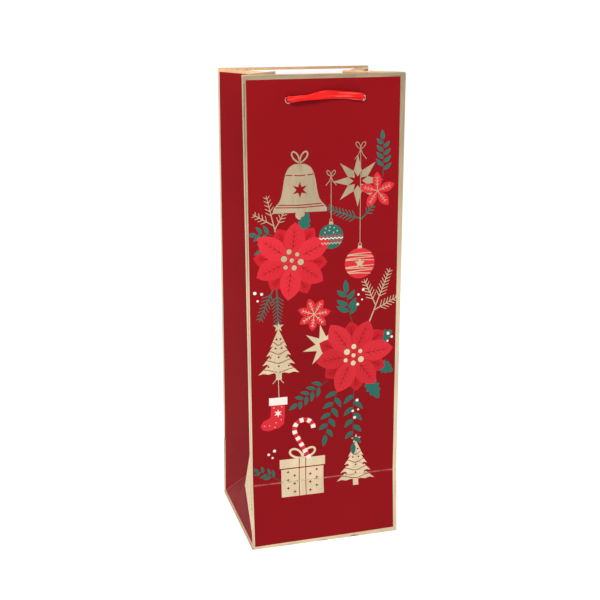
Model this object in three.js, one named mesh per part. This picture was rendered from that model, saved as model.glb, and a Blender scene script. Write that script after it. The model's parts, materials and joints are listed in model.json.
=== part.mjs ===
// Tall gift bag for a wine bottle: one printed paper sheet folded into a gusseted
// bag with a block bottom, a turned-in mouth hem and two ribbon handles.
// Millimetres. +Z is up, the front faces -Y, and the origin is the centre of the base.
// Every length of paper between two fold lines is a plate of its own.
import * as THREE from 'three';

// ---- driving dimensions ----
const SLANT_HEIGHT = 360;      // front and back panels, base fold to mouth
const BASE_WIDTH = 118;        // front panel at the base, where the folds draw it in
const MOUTH_WIDTH = 121;       // front panel at the mouth
const DEPTH = 107;             // base, front to back
const FOOT_HEIGHT = 52;        // panel below the cross crease
const FOOT_SET_IN = 4.5;       // how far the cross crease sits inside the base fold
const FRONT_SET_IN = 8.6;      // how far the mouth edge sits inside the base fold, front
const BACK_SET_IN = 16;        // and back
const TUCK_ANGLE = THREE.MathUtils.degToRad(26); // base triangles, tilted in from upright
const CENTRE_CLEARANCE = [6.6, 3.4]; // gusset halves, short of their centre crease: low, high

const PAPER = 0.3;
const HANDLE_CARD = 0.8;
const BASE_CARD = 1.0;
const GAP = 0.3;
const FLAT_INSET = 0.2;        // plate edge to fold line, where the fold is nearly flat
const SQUARE_INSET = 0.6;      // where it is about square
const SHARP_INSET = 1.1;       // where it is sharper than square

const HEM_HEIGHT = 40;         // turned-in paper at the mouth
const HEM_SIDE_INSET = 5;
const HANDLE_CARD_HEIGHT = 30;
const HANDLE_CARD_DROP = 3;
const HANDLE_CARD_SIDE_INSET = 7;
const HOLE_RADIUS = 2.5;
const HOLE_SIDES = 24;
const HOLE_SPACING = 55;
const HOLE_DROP = 17.5;        // hole centre below the mouth edge
const SEAM_WIDTH = 14;
const SEAM_END_GAP = 2;        // to the cross crease and to the hem

const FLAP_INSET = 0.7;        // bottom flaps, behind the base folds
const FLAP_SIDE_INSETS = [1, 1.3, 1.6]; // and at their ends: front, back and end flaps
const FLAP_OVERLAP = 22;
const END_FLAP_LENGTH = 48;
const CARD_INSET = 3;
const GUSSET_ROWS = 8;
const GUSSET_COLUMNS = 2;

const RIBBON_RADIUS = 1.2;
const RIBBON_SIDES = 8;
const RIBBON_STEPS = 72;
const KNOT_RADIUS = 4.5;
const TAIL_LENGTH = 134;       // hole to knot, inside the bag

const GUSSET_HALF = DEPTH / 2;
const FRONT = -1;
const BACK = 1;
const LEFT = -1;
const RIGHT = 1;
const SIDE_NAMES = { [LEFT]: 'left', [RIGHT]: 'right' };
const WALL_NAMES = { [FRONT]: 'front', [BACK]: 'back' };

const printedPaper = { color: 0x96141a, roughness: 0.42, metalness: 0 };
const plainPaper = { color: 0xf1e6e4, roughness: 0.8, metalness: 0 };
const greyCard = { color: 0xa8a093, roughness: 0.9, metalness: 0 };
const satin = { color: 0xe8201c, roughness: 0.35, metalness: 0 };

// ---- the folded sheet: where its fold lines are ----
const creaseZ = Math.sqrt(FOOT_HEIGHT ** 2 - FOOT_SET_IN ** 2);
const creaseY = DEPTH / 2 - FOOT_SET_IN;
const wallLength = SLANT_HEIGHT - FOOT_HEIGHT;
const mouthSetIn = { [FRONT]: FRONT_SET_IN, [BACK]: BACK_SET_IN };
const lean = (wall) => Math.asin((mouthSetIn[wall] - FOOT_SET_IN) / wallLength);
const halfWidth = (alongPanel) =>
  THREE.MathUtils.lerp(BASE_WIDTH, MOUTH_WIDTH, alongPanel / SLANT_HEIGHT) / 2;

// A point of a wall, by its place across it, its depth behind the outer face and its
// distance above the cross crease.
function wallPoint(wall, across, inward, up) {
  const angle = lean(wall);
  return new THREE.Vector3(
    across,
    wall * (creaseY - up * Math.sin(angle) - inward * Math.cos(angle)),
    creaseZ + up * Math.cos(angle) - inward * Math.sin(angle),
  );
}

const baseCorner = (side, wall) => new THREE.Vector3(side * halfWidth(0), wall * DEPTH / 2, 0);
const creaseCorner = (side, wall) => wallPoint(wall, side * halfWidth(FOOT_HEIGHT), 0, 0);
const tuckApex = (side) => new THREE.Vector3(
  side * (halfWidth(0) - GUSSET_HALF * Math.sin(TUCK_ANGLE)), 0, GUSSET_HALF * Math.cos(TUCK_ANGLE));

// The angle between a wall and the gusset half folded behind it, at a height on the wall.
function foldAngle(up) {
  const front = wallPoint(FRONT, 0, 0, up);
  const back = wallPoint(BACK, 0, 0, up);
  return Math.asin((back.y - front.y) / (2 * GUSSET_HALF));
}

// A point of a gusset half, by its distance from the wall's side edge, its depth behind
// the outer face and its height on the wall.
function gussetPoint(side, wall, reach, inward, up) {
  const angle = foldAngle(up);
  const across = halfWidth(FOOT_HEIGHT + up) - reach * Math.cos(angle) - inward * Math.sin(angle);
  return wallPoint(wall, side * across, reach * Math.sin(angle) - inward * Math.cos(angle), up);
}

// ---- plates ----
function circle(radius, sides) {
  return Array.from({ length: sides }, (_, i) => {
    const turn = 2 * Math.PI * i / sides;
    return new THREE.Vector2(radius * Math.cos(turn), radius * Math.sin(turn));
  });
}

function insetOutline(outline, insets) {
  const lines = outline.map((start, i) => {
    const along = outline[(i + 1) % outline.length].clone().sub(start).normalize();
    const inward = new THREE.Vector2(-along.y, along.x);
    return { start: start.clone().addScaledVector(inward, insets[i]), along };
  });
  return lines.map((line, i) => {
    const before = lines[(i + lines.length - 1) % lines.length];
    const step = line.start.clone().sub(before.start);
    const reach = step.cross(line.along) / before.along.cross(line.along);
    return before.start.clone().addScaledVector(before.along, reach);
  });
}

// A flat plate between fold lines. corners lie on its outer face, insets[i] is the gap left
// beside the edge from corner i to the next, and inside is a point on its inner side.
function plate(name, look, corners, insets, inside, { depth = 0, thickness = PAPER, holes = [] } = {}) {
  const origin = corners[0];
  const alongX = corners[1].clone().sub(origin).normalize();
  const inwardZ = alongX.clone().cross(corners[corners.length - 1].clone().sub(origin)).normalize();
  if (inwardZ.dot(inside.clone().sub(origin)) < 0) inwardZ.negate();
  const alongY = inwardZ.clone().cross(alongX);
  const flatten = (point) => {
    const offset = point.clone().sub(origin);
    return new THREE.Vector2(offset.dot(alongX), offset.dot(alongY));
  };
  const outline = corners.map(flatten);
  const turns = THREE.ShapeUtils.isClockWise(outline) ? -1 : 1;
  const shape = new THREE.Shape(insetOutline(outline, insets.map((inset) => inset * turns)));
  for (const centre of holes.map(flatten)) {
    shape.holes.push(new THREE.Path(circle(HOLE_RADIUS, HOLE_SIDES).map((point) => point.add(centre))));
  }
  const geometry = new THREE.ExtrudeGeometry(shape, { depth: thickness, bevelEnabled: false });
  const mesh = new THREE.Mesh(geometry, new THREE.MeshStandardMaterial(look));
  mesh.name = name;
  mesh.quaternion.setFromRotationMatrix(new THREE.Matrix4().makeBasis(alongX, alongY, inwardZ));
  mesh.position.copy(origin).addScaledVector(inwardZ, depth);
  return mesh;
}

// A plate that twists: at(row, column, skin) gives the point, on the outer skin (0) or the
// inner one (1), of a grid of rows + 1 by columns + 1 points.
function twistedPlate(name, look, rows, columns, at) {
  const positions = [];
  const corner = (row, column, skin) => at(row, column, skin).toArray();
  const quad = (a, b, c, d) => positions.push(...a, ...b, ...c, ...a, ...c, ...d);
  for (let row = 0; row < rows; row += 1) {
    for (let column = 0; column < columns; column += 1) {
      const around = [[row, column], [row, column + 1], [row + 1, column + 1], [row + 1, column]];
      const otherWay = [around[0], around[3], around[2], around[1]];
      quad(...around.map(([r, c]) => corner(r, c, 0)));
      quad(...otherWay.map(([r, c]) => corner(r, c, 1)));
    }
  }
  for (let row = 0; row < rows; row += 1) {
    quad(corner(row, 0, 0), corner(row + 1, 0, 0), corner(row + 1, 0, 1), corner(row, 0, 1));
    quad(corner(row + 1, columns, 0), corner(row, columns, 0),
      corner(row, columns, 1), corner(row + 1, columns, 1));
  }
  for (let column = 0; column < columns; column += 1) {
    quad(corner(0, column + 1, 0), corner(0, column, 0), corner(0, column, 1), corner(0, column + 1, 1));
    quad(corner(rows, column, 0), corner(rows, column + 1, 0),
      corner(rows, column + 1, 1), corner(rows, column, 1));
  }
  if (signedVolume(positions) < 0) {
    for (let i = 0; i < positions.length; i += 9) {
      const second = positions.slice(i + 3, i + 6);
      positions.splice(i + 3, 6, ...positions.slice(i + 6, i + 9), ...second);
    }
  }
  const geometry = new THREE.BufferGeometry();
  geometry.setAttribute('position', new THREE.Float32BufferAttribute(positions, 3));
  geometry.computeVertexNormals();
  const mesh = new THREE.Mesh(geometry, new THREE.MeshStandardMaterial(look));
  mesh.name = name;
  return mesh;
}

function signedVolume(positions) {
  const [a, b, c] = [new THREE.Vector3(), new THREE.Vector3(), new THREE.Vector3()];
  let volume = 0;
  for (let i = 0; i < positions.length; i += 9) {
    volume += a.fromArray(positions, i).dot(b.fromArray(positions, i + 3).cross(c.fromArray(positions, i + 6)));
  }
  return volume / 6;
}

const bag = new THREE.Group();
const bagMiddle = new THREE.Vector3(0, 0, SLANT_HEIGHT / 2);

// ---- block bottom: four glued flaps and the loose card on them ----
function bottomPlate(name, look, halfX, yLow, yHigh, z, thickness) {
  const corners = [[-halfX, yLow], [halfX, yLow], [halfX, yHigh], [-halfX, yHigh]]
    .map(([x, y]) => new THREE.Vector3(x, y, z));
  return plate(name, look, corners, [0, 0, 0, 0], bagMiddle, { thickness });
}

const flapStep = PAPER + GAP;
const flapEdge = DEPTH / 2 - FLAP_INSET;
const bottomHalf = BASE_WIDTH / 2;
const [frontFlapHalf, backFlapHalf, endFlapEdge] = FLAP_SIDE_INSETS.map((inset) => bottomHalf - inset);
bag.add(
  bottomPlate('front_bottom_flap', printedPaper, frontFlapHalf, -flapEdge, FLAP_OVERLAP / 2, 0, PAPER),
  bottomPlate('back_bottom_flap', printedPaper, backFlapHalf, -FLAP_OVERLAP / 2, flapEdge, flapStep, PAPER),
);
for (const side of [LEFT, RIGHT]) {
  const inner = side * (bottomHalf - END_FLAP_LENGTH);
  const outer = side * endFlapEdge;
  const corners = [[inner, -flapEdge], [outer, -flapEdge], [outer, flapEdge], [inner, flapEdge]]
    .map(([x, y]) => new THREE.Vector3(x, y, 2 * flapStep));
  bag.add(plate(`${SIDE_NAMES[side]}_bottom_flap`, printedPaper, corners, [0, 0, 0, 0], bagMiddle));
}
bag.add(bottomPlate('base_card', greyCard, bottomHalf - CARD_INSET, CARD_INSET - DEPTH / 2,
  DEPTH / 2 - CARD_INSET, 3 * flapStep, BASE_CARD));

// ---- feet: the panels and tucked triangles between the base folds and the cross crease ----
for (const wall of [FRONT, BACK]) {
  const corners = [baseCorner(LEFT, wall), baseCorner(RIGHT, wall),
    creaseCorner(RIGHT, wall), creaseCorner(LEFT, wall)];
  bag.add(plate(`${WALL_NAMES[wall]}_foot`, printedPaper, corners,
    [0, 0, FLAT_INSET, 0], bagMiddle));
}
for (const side of [LEFT, RIGHT]) {
  const corners = [baseCorner(side, FRONT), baseCorner(side, BACK), tuckApex(side)];
  bag.add(plate(`${SIDE_NAMES[side]}_base_triangle`, printedPaper, corners,
    [0, SQUARE_INSET, SQUARE_INSET], bagMiddle));
  for (const wall of [FRONT, BACK]) {
    const fold = [baseCorner(side, wall), creaseCorner(side, wall), tuckApex(side)];
    bag.add(plate(`${SIDE_NAMES[side]}_${WALL_NAMES[wall]}_corner_fold`, printedPaper, fold,
      [SHARP_INSET, FLAT_INSET, SQUARE_INSET], wallPoint(wall, 0, GUSSET_HALF / 2, 0)));
  }
}

// ---- walls above the cross crease, with their hem, handle card and seam ----
function wallPlate(name, look, wall, lowUp, highUp, sideInset, options) {
  const at = (side, up) => wallPoint(wall, side * halfWidth(FOOT_HEIGHT + up), 0, up);
  const corners = [at(LEFT, lowUp), at(RIGHT, lowUp), at(RIGHT, highUp), at(LEFT, highUp)];
  return plate(name, look, corners, [0, sideInset, 0, sideInset], bagMiddle, options);
}

const cardDepth = PAPER + GAP;
const hemDepth = cardDepth + HANDLE_CARD + GAP;
const cardTop = wallLength - HANDLE_CARD_DROP;
for (const wall of [FRONT, BACK]) {
  const name = WALL_NAMES[wall];
  const holes = [LEFT, RIGHT].map((side) =>
    wallPoint(wall, side * HOLE_SPACING / 2, 0, wallLength - HOLE_DROP));
  bag.add(
    wallPlate(`${name}_wall`, printedPaper, wall, FLAT_INSET, wallLength, 0, { holes }),
    wallPlate(`${name}_handle_card`, greyCard, wall, cardTop - HANDLE_CARD_HEIGHT, cardTop,
      HANDLE_CARD_SIDE_INSET, { depth: cardDepth, thickness: HANDLE_CARD, holes }),
    wallPlate(`${name}_hem`, plainPaper, wall, wallLength - HEM_HEIGHT, wallLength,
      HEM_SIDE_INSET, { depth: hemDepth, holes }),
  );
}
const seamEdge = (up) => -halfWidth(FOOT_HEIGHT + up) + SHARP_INSET + GAP;
const seamCorners = [SEAM_END_GAP, wallLength - HEM_HEIGHT].flatMap((up, i) => {
  const ends = [seamEdge(up - SEAM_END_GAP), seamEdge(up - SEAM_END_GAP) + SEAM_WIDTH];
  return (i ? ends.reverse() : ends).map((across) => wallPoint(BACK, across, 0, up));
});
bag.add(plate('side_seam_flap', plainPaper, seamCorners, [0, 0, 0, 0], bagMiddle, { depth: cardDepth }));

// ---- gussets: two halves a side, folded in towards their centre crease ----
for (const side of [LEFT, RIGHT]) {
  for (const wall of [FRONT, BACK]) {
    const name = `${SIDE_NAMES[side]}_${WALL_NAMES[wall]}_gusset`;
    const lowest = 2 * SQUARE_INSET;
    const stripe = (lowUp, nearReach, hemmed) => (row, column, skin) => {
      const up = THREE.MathUtils.lerp(lowUp, wallLength, row / GUSSET_ROWS);
      const clearance = THREE.MathUtils.lerp(...CENTRE_CLEARANCE, up / wallLength);
      const farReach = GUSSET_HALF - clearance;
      const reach = THREE.MathUtils.lerp(nearReach, farReach, column / GUSSET_COLUMNS);
      const sink = THREE.MathUtils.mapLinear(up, 0, wallLength, (creaseZ - tuckApex(side).z), 0);
      const point = gussetPoint(side, wall, reach, hemmed * flapStep + skin * PAPER, up);
      point.z -= sink * reach / GUSSET_HALF;
      return point;
    };
    bag.add(
      twistedPlate(name, printedPaper, GUSSET_ROWS, GUSSET_COLUMNS, stripe(lowest, SHARP_INSET, 0)),
      twistedPlate(`${name}_hem`, plainPaper, GUSSET_ROWS, GUSSET_COLUMNS,
        stripe(wallLength - HEM_HEIGHT, HEM_SIDE_INSET, 1)),
    );
  }
}

// ---- ribbon handles ----
// Each is threaded through its two holes with a short run outside and both tails hanging
// inside, knotted. Places: across the wall, behind its outer face, above the hole centres.
const RIBBON_ROUTE = [
  [-33.5, 8.4, -TAIL_LENGTH], [-32.9, 7.2, -118], [-31.7, 6.2, -98], [-30.7, 5.8, -78], [-29.7, 5.8, -58],
  [-28.7, 5.8, -40], [-28, 5.8, -22], [-27.6, 5.6, -9], [-27.5, 4.6, -2.4], [-27.8, 2.4, 0],
  [-28.2, 0, 0.3], [-27.6, -1.9, 0.7], [-23.6, -2.7, 1.1], [-13, -2.7, 2], [0, -3.1, 3],
  [13, -2.8, 2.3], [23.6, -2.7, 1.2], [27.6, -1.9, 0.7], [28.2, 0, 0.3], [27.8, 2.4, 0],
  [27.5, 4.6, -2.4], [27.6, 5.6, -9], [28.2, 5.8, -22], [29.1, 5.8, -40], [29.9, 5.8, -58],
  [30.5, 5.8, -78], [30.9, 6.2, -98], [31.3, 7.2, -118], [31.9, 8.4, -TAIL_LENGTH],
];

function hangingPoint(wall, [across, inward, rise]) {
  const drop = Math.max(0, -rise) * Math.tan(lean(wall));
  return wallPoint(wall, across, inward + drop, wallLength - HOLE_DROP + rise);
}

for (const wall of [FRONT, BACK]) {
  const route = RIBBON_ROUTE.map((place) => hangingPoint(wall, place));
  const section = new THREE.Shape(circle(RIBBON_RADIUS, RIBBON_SIDES));
  const tube = new THREE.ExtrudeGeometry(section, {
    steps: RIBBON_STEPS, bevelEnabled: false, extrudePath: new THREE.CatmullRomCurve3(route),
  });
  const ribbon = new THREE.Mesh(tube, new THREE.MeshStandardMaterial(satin));
  ribbon.name = `${WALL_NAMES[wall]}_ribbon`;
  bag.add(ribbon);
  for (const [side, end, before] of [[LEFT, 0, 1], [RIGHT, route.length - 1, route.length - 2]]) {
    const away = route[end].clone().sub(route[before]).normalize();
    const knot = new THREE.Mesh(
      new THREE.IcosahedronGeometry(KNOT_RADIUS, 1), new THREE.MeshStandardMaterial(satin));
    knot.name = `${WALL_NAMES[wall]}_${SIDE_NAMES[side]}_knot`;
    knot.position.copy(route[end]).addScaledVector(away, KNOT_RADIUS + GAP);
    bag.add(knot);
  }
}

export default bag;
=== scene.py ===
"""Looks of the wine gift bag: printed paper, gold foil, turned hems and satin ribbon handles."""

import json
import math

import bpy
import numpy as np
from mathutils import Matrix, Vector, geometry, noise


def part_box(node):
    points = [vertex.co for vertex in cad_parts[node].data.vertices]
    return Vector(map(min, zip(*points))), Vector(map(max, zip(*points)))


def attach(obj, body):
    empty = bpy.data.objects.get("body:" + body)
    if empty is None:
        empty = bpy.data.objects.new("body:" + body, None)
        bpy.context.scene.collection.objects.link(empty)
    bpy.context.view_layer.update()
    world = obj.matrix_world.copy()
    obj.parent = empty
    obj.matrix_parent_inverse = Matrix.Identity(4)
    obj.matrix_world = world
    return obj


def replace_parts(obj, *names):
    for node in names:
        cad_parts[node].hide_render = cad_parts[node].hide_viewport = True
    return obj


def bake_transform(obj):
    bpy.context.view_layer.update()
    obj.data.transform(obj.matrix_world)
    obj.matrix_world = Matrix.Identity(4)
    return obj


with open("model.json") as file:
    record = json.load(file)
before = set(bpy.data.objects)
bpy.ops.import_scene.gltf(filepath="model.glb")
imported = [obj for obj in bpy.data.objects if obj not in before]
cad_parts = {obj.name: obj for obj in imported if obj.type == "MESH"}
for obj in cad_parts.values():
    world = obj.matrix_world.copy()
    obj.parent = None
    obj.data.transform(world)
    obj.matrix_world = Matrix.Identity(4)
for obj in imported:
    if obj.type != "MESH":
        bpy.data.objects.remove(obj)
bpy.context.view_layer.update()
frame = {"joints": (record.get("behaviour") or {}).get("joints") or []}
joints = {joint["name"]: joint for joint in frame["joints"]}
MM = 0.001
FRONT, BACK, LEFT, RIGHT = -1, 1, -1, 1
WALL_NAMES = {FRONT: "front", BACK: "back"}
SIDE_NAMES = {LEFT: "left", RIGHT: "right"}

# ---- camera: a short telephoto, a little above the mouth and to the left of the front ----
CAMERA_PLACE = (-0.2282, -0.7841, 0.4123)
CAMERA_YAW = 0.276
CAMERA_PITCH = 0.275
FOCAL_LENGTH = 64.67

camera = bpy.data.objects.new("camera", bpy.data.cameras.new("camera"))
camera.data.lens = FOCAL_LENGTH
camera.location = CAMERA_PLACE
camera.rotation_euler = (math.pi / 2 - CAMERA_PITCH, 0, -CAMERA_YAW)
bpy.context.collection.objects.link(camera)
bpy.context.scene.camera = camera

# ---- the bag's fold lines, from the frame (millimetres from here on) ----
PAPER = 0.3
FOLD_RADIUS = 0.5
TUCK_ANGLE = math.radians(26)
DEPTH_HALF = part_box("back_foot")[1].y / MM
CREASE_Y, CREASE_Z = (value / MM for value in joints["back_wall_lean"]["pos_m"][1:])
CREASE_HALF = abs(joints["mouth_spread"]["pos_m"][0]) / MM
MOUTH_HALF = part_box("front_wall")[1].x / MM
LEAN = {
    FRONT: math.asin(joints["mouth_spread"]["axis"][1]),
    BACK: math.asin(joints["left_back_gusset_fold"]["axis"][1]),
}
WALL_LENGTH = (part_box("front_wall")[1].z / MM - CREASE_Z) / math.cos(LEAN[FRONT])
FOOT_LENGTH = math.hypot(CREASE_Z, DEPTH_HALF - CREASE_Y)
PANEL_LENGTH = FOOT_LENGTH + WALL_LENGTH
FOOT_LEAN = math.asin((DEPTH_HALF - CREASE_Y) / FOOT_LENGTH)
GUSSET_HALF = DEPTH_HALF
BASE_RADIUS = 0.6
HEM_HEIGHT = 40
HEM_RADIUS = 0.5
HEM_INSET = 1.6
HEM_INSET_LENGTH = 3
GUSSET_HEM_RADIUS = 0.45
CARD_STEP = 1.0
FLARE_LENGTH = 3.5
FOOT_BULGE = 0.5
WALL_BULGE = 1.5
RIPPLE = 0.55
RIPPLE_ACROSS, RIPPLE_ALONG, RIPPLE_SEED = 70, 90, 7.3


def wall_body(wall):
    return f"{WALL_NAMES[wall]}_wall"


def corner_name(side, wall):
    return f"{SIDE_NAMES[side]}_{WALL_NAMES[wall]}"


def outside(side, wall, height=150):
    """A point far outside the bag, which tells a skin which way to face."""
    return side * 1000, wall * 1000, height


def clamp(value):
    return min(1.0, max(0.0, value))


def shares(count):
    """Shares from 0 to 1 in even steps, both ends included."""
    return [i / count for i in range(count + 1)]


def spread(low, high, step, extra=()):
    """Values from low to high about step apart, with some extra ones among them."""
    count = max(1, round((high - low) / step))
    values = [low + (high - low) * i / count for i in range(count + 1)]
    values += [value for value in extra if low < value < high]
    values = sorted(set(round(value, 4) for value in values))
    kept = [values[0]]
    for value in values[1:]:
        if value - kept[-1] > 0.05:
            kept.append(value)
    return kept


def half_width(v):
    """Half a panel's width at its sharp corners, which lie just outside its rounded side folds."""
    slope = (MOUTH_HALF - CREASE_HALF) / WALL_LENGTH
    return CREASE_HALF + (v - FOOT_LENGTH) * slope + fold_setback(v) - FOLD_RADIUS


def wall_point(wall, across, inward, up):
    angle = LEAN[wall]
    y = wall * (CREASE_Y - up * math.sin(angle) - inward * math.cos(angle))
    return Vector((across, y, CREASE_Z + up * math.cos(angle) - inward * math.sin(angle)))


def bulge(wall, across, v):
    """How far a panel bulges outwards: nothing at its folds, a little between them."""
    share = across / half_width(v)
    if v < FOOT_LENGTH:
        lengthways = FOOT_BULGE * math.sin(math.pi * clamp(v / FOOT_LENGTH))
    else:
        up = clamp((v - FOOT_LENGTH) / (WALL_LENGTH - HEM_HEIGHT))
        lengthways = WALL_BULGE * math.sin(math.pi * up)
    ripple = RIPPLE * noise.noise(Vector((across / RIPPLE_ACROSS, v / RIPPLE_ALONG, wall * RIPPLE_SEED)))
    return max(0.0, 1 - share * share) * (lengthways + ripple * clamp((PANEL_LENGTH - v) / HEM_HEIGHT))


def panel_point(wall, across, inward, v):
    """A point of a whole panel, foot and wall, by its distance from the base fold along the paper."""
    depth = inward - bulge(wall, across, v)
    if v >= FOOT_LENGTH:
        return wall_point(wall, across, depth, v - FOOT_LENGTH)
    y = wall * (DEPTH_HALF - v * math.sin(FOOT_LEAN) - depth * math.cos(FOOT_LEAN))
    return Vector((across, y, v * math.cos(FOOT_LEAN) - depth * math.sin(FOOT_LEAN)))


def fold_angle(up):
    depth = wall_point(BACK, 0, 0, up).y - wall_point(FRONT, 0, 0, up).y
    return math.asin(depth / (2 * GUSSET_HALF))


def fold_setback(v):
    """How far from a side fold's sharp corner its rounding starts."""
    return FOLD_RADIUS / math.tan(fold_angle(max(0, v - FOOT_LENGTH)) / 2)


def base_corner(side, wall):
    return Vector((side * half_width(0), wall * DEPTH_HALF, 0))


def crease_corner(side, wall):
    return wall_point(wall, side * CREASE_HALF, 0, 0)


def tuck_apex(side):
    across = half_width(0) - GUSSET_HALF * math.sin(TUCK_ANGLE)
    return Vector((side * across, 0, GUSSET_HALF * math.cos(TUCK_ANGLE)))


def turned(p, lift, radius, flare, flare_length):
    """Follows a panel up its outside, over the folded mouth edge and down the hem inside.
    Returns the place along the panel and the depth behind its outer face."""
    straight = PANEL_LENGTH - radius
    if p <= straight:
        return p, -lift
    turn = (p - straight) / radius
    if turn < math.pi:
        return straight + (radius + lift) * math.sin(turn), radius - (radius + lift) * math.cos(turn)
    down = p - straight - math.pi * radius
    return straight - down, 2 * radius + lift + flare * min(1, down / flare_length)


def wall_surface(wall, share, p, lift=0.0):
    """A wall's paper: share runs from -1 to 1 between the side folds, p along the paper."""
    v, inward = turned(p, lift, HEM_RADIUS, CARD_STEP, FLARE_LENGTH)
    over = clamp((p - PANEL_LENGTH + HEM_RADIUS) / HEM_INSET_LENGTH)
    across = share * (half_width(v) - fold_setback(v) - over * HEM_INSET)
    return panel_point(wall, across, inward, v)


def side_fold(wall, side, share, v):
    """The rounded side fold of a panel, from the panel's face (0) to the gusset's (1)."""
    turn = share * (math.pi - fold_angle(max(0, v - FOOT_LENGTH)))
    across = half_width(v) - fold_setback(v) + FOLD_RADIUS * math.sin(turn)
    return panel_point(wall, side * across, FOLD_RADIUS * (1 - math.cos(turn)), v)


# ---- gusset surfaces ----
EAR_REACH = 5.0
EAR_HEIGHT = 30
EAR_SIDEWAYS = 5.9
EAR_FORWARDS = 2.6
EAR_FALL = {FRONT: 1.0, BACK: 2.0}
EAR = {(LEFT, FRONT): 1.0, (LEFT, BACK): 0.12, (RIGHT, FRONT): 0.15, (RIGHT, BACK): 0.4}
RIDGE_HEIGHT = 1.45
RIDGE_SHARE = 0.55
RIM_RIDGE_HEIGHT = 0.36
RIM_RIDGE_LENGTH = 45
GUSSET_HEM_START = 2.2
GUSSET_HEM_SHORTER = 1.9


def ear(side, wall, reach, v, limit):
    """Near the cross crease the paper beside a side fold stands out as a small ear, which has died away
    at the fold that limits the paper's reach."""
    height = v - FOOT_LENGTH
    if height > 0:
        tall = clamp(1 - height / EAR_HEIGHT) ** EAR_FALL[wall]
    else:
        tall = clamp(1 + height / FOOT_LENGTH)
    crest = min(EAR_REACH, limit * 0.4)
    start = min(fold_setback(v), crest * 0.5)
    grow = clamp((reach - start) / (crest - start))
    fade = 0.5 + 0.5 * math.cos(math.pi * clamp((reach - crest) / (limit - crest)))
    size = EAR[side, wall] * tall * grow * fade
    return Vector((side * EAR_SIDEWAYS, wall * EAR_FORWARDS, 0)) * size


def crease_ridge(up):
    """The two halves run on a little past their shared centre crease, low down and at the mouth, where
    the blend of their turn would part them as the mouth opens."""
    low = RIDGE_HEIGHT * math.sin(math.pi * clamp(up / WALL_LENGTH / RIDGE_SHARE)) ** 0.6
    return low + RIM_RIDGE_HEIGHT * max(0.0, 1 - (WALL_LENGTH - up) / RIM_RIDGE_LENGTH)


def gusset_point(side, wall, reach, inward, up):
    angle = fold_angle(up)
    reach *= 1 + crease_ridge(up) / GUSSET_HALF
    across = half_width(FOOT_LENGTH + up) - reach * math.cos(angle) - inward * math.sin(angle)
    point = wall_point(wall, side * across, reach * math.sin(angle) - inward * math.cos(angle), up)
    sink = (CREASE_Z - tuck_apex(side).z) * (1 - up / WALL_LENGTH)
    point.z -= sink * reach / GUSSET_HALF
    return point


def gusset_surface(side, wall, reach, p):
    """The upper gusset half, over its mouth fold: reach from the side fold, p along the paper. Its
    turned-in hem is narrower than its outside."""
    if p > PANEL_LENGTH + GUSSET_HEM_RADIUS:
        reach = GUSSET_HEM_START + reach * (1 - GUSSET_HEM_SHORTER / GUSSET_HALF)
    v, inward = turned(p, 0, GUSSET_HEM_RADIUS, 0, 1)
    point = gusset_point(side, wall, reach, inward, v - FOOT_LENGTH)
    return point + ear(side, wall, reach, v, GUSSET_HALF)


def corner_fold_surface(side, wall, reach, row):
    """The corner fold between the foot, the diagonal fold and the upper gusset half: row runs from the
    base corner (0) to the upper gusset (1), reach is the distance from the foot's side fold."""
    base, crease, apex = base_corner(side, wall), crease_corner(side, wall), tuck_apex(side)
    limit = GUSSET_HALF * row
    place = min(reach, limit)
    point = base.lerp(crease.lerp(apex, place / limit), row)
    return point + ear(side, wall, place, row * FOOT_LENGTH, limit)


NEAR_REACHES = [1.3, 2.3, 3.6, EAR_REACH]
GUSSET_ROWS = spread(FOOT_LENGTH, PANEL_LENGTH - GUSSET_HEM_RADIUS - 0.6, 4)
CORNER_ROWS = [0.03] + shares(18)[1:]


def reaches(v, limit):
    """Places across a gusset half from its side fold to its limit, closest together near the fold."""
    far = [EAR_REACH + (limit - EAR_REACH) * share for share in shares(16)[1:]]
    return [min(value, limit) for value in [fold_setback(v)] + NEAR_REACHES + far]


def gusset_grid(side, wall, rows):
    return [[gusset_surface(side, wall, reach, p) for reach in reaches(min(p, PANEL_LENGTH), GUSSET_HALF)]
            for p in rows]


def triangle_grid(side, rows, columns):
    """The base triangle: rows up from its base fold, columns as shares between its two diagonal folds."""
    front, back, apex = base_corner(side, FRONT), base_corner(side, BACK), tuck_apex(side)
    grid = []
    for row in rows:
        low, high = front.lerp(apex, row / GUSSET_HALF), back.lerp(apex, row / GUSSET_HALF)
        grid.append([low.lerp(high, share) for share in columns])
    return grid


# ---- materials ----
LAMINATE_ROUGHNESS = 0.42
FOIL_ROUGHNESS = 0.33
RUBBED = (0.6, 0.22, 0.2)
CRACKED = (0.22, 0.17, 0.12)
SATIN = (0.72, 0.005, 0.005)
# Painted shade, painted highlights and painted edge shade stand in for the satin's gloss; SATIN is the
# ribbon's own red.
SATIN_PAINTED_SHADE = (0.5, 0.002, 0.003)
SATIN_PAINTED_HIGHLIGHT = (1.0, 0.11, 0.08)
SATIN_THREAD_HIGHLIGHT = (0.95, 0.03, 0.02)
SATIN_PAINTED_EDGE_SHADE = (0.4, 0.002, 0.003)


def new_material(name, color, roughness, metallic=0.0, specular=0.5):
    material = bpy.data.materials.new(name)
    material.use_nodes = True
    shader = material.node_tree.nodes["Principled BSDF"]
    shader.inputs["Base Color"].default_value = (*color, 1)
    shader.inputs["Roughness"].default_value = roughness
    shader.inputs["Metallic"].default_value = metallic
    shader.inputs["Specular IOR Level"].default_value = specular
    return material, material.node_tree, shader


def shade(color, share):
    return tuple(min(1, value * share) for value in color)


def add(tree, kind, **values):
    node = tree.nodes.new(kind)
    for name, value in values.items():
        if name in node.inputs:
            node.inputs[name].default_value = value
        else:
            setattr(node, name, value)
    return node


def marked(tree, attribute, output="Fac"):
    """What a mesh attribute says at each place."""
    return add(tree, "ShaderNodeAttribute", attribute_name=attribute).outputs[output]


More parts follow.
